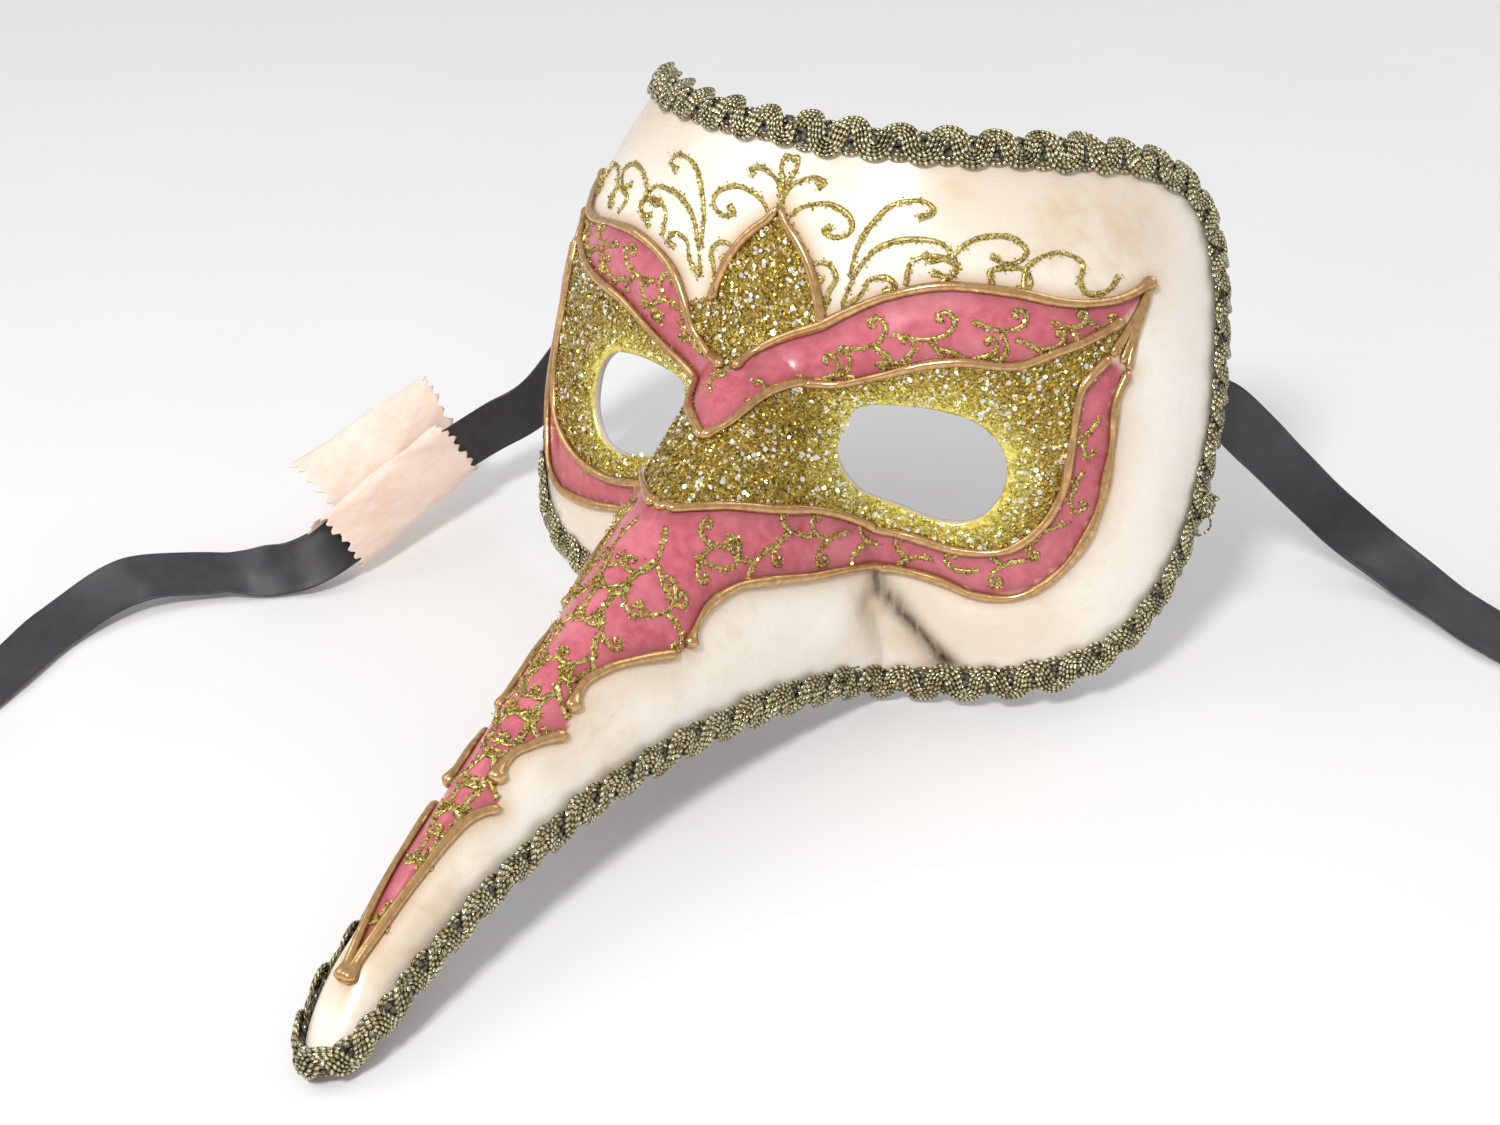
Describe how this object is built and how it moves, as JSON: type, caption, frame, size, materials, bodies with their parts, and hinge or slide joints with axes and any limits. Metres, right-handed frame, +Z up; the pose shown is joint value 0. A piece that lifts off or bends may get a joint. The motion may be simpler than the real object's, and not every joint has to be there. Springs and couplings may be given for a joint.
{
  "type": "venetian half mask with a long nose",
  "caption": "Rigid half mask with a long hollow nose, two eye holes, braided edge, raised gold lines, two tie ribbons and a blank paper tag.",
  "frame": {"origin": "bottom centre of the standing mask, ribbons and tag left out: it stands on the lower edge of its nose tip and nose root", "axes": "+Z up, the face and the nose look along -Y, +X is the left-hand side of the wearer; the mask is mirrored about the plane X = 0"},
  "size_m": [0.436, 0.308, 0.1201],
  "materials": {
    "ivory_paint": "ivory gloss paint over papier-mache, antiqued brown in the hollows, with pink and gold glitter fields",
    "gold_relief": "raised antique gold paste lines",
    "gold_braid": "metallic olive gold gimp braid",
    "black_satin": "black satin ribbon",
    "pad_felt": "pale felt",
    "peach_paper": "peach coloured paper, blank"
  },
  "bodies": {
    "root": {"mask_shell": "ivory_paint", "braid_top": "gold_braid", "braid_tip": "gold_braid", "braid_side_right": "gold_braid", "braid_cheek_right": "gold_braid", "braid_nose_right": "gold_braid", "relief_upper_brow_right": "gold_relief", "relief_lower_brow_right": "gold_relief", "relief_inner_line_right": "gold_relief", "relief_outer_line_right": "gold_relief", "relief_scallop_1_right": "gold_relief", "relief_scallop_2_right": "gold_relief", "relief_scallop_3_right": "gold_relief", "relief_petal_right": "gold_relief", "ribbon_pad_right": "pad_felt", "braid_side_left": "gold_braid", "braid_cheek_left": "gold_braid", "braid_nose_left": "gold_braid", "relief_upper_brow_left": "gold_relief", "relief_lower_brow_left": "gold_relief", "relief_inner_line_left": "gold_relief", "relief_outer_line_left": "gold_relief", "relief_scallop_1_left": "gold_relief", "relief_scallop_2_left": "gold_relief", "relief_scallop_3_left": "gold_relief", "relief_petal_left": "gold_relief", "ribbon_pad_left": "pad_felt", "ribbon_right": "black_satin", "ribbon_coil_right": "black_satin", "ribbon_left": "black_satin", "ribbon_coil_left": "black_satin", "paper_tag": "peach_paper"}
  },
  "joints": []
}
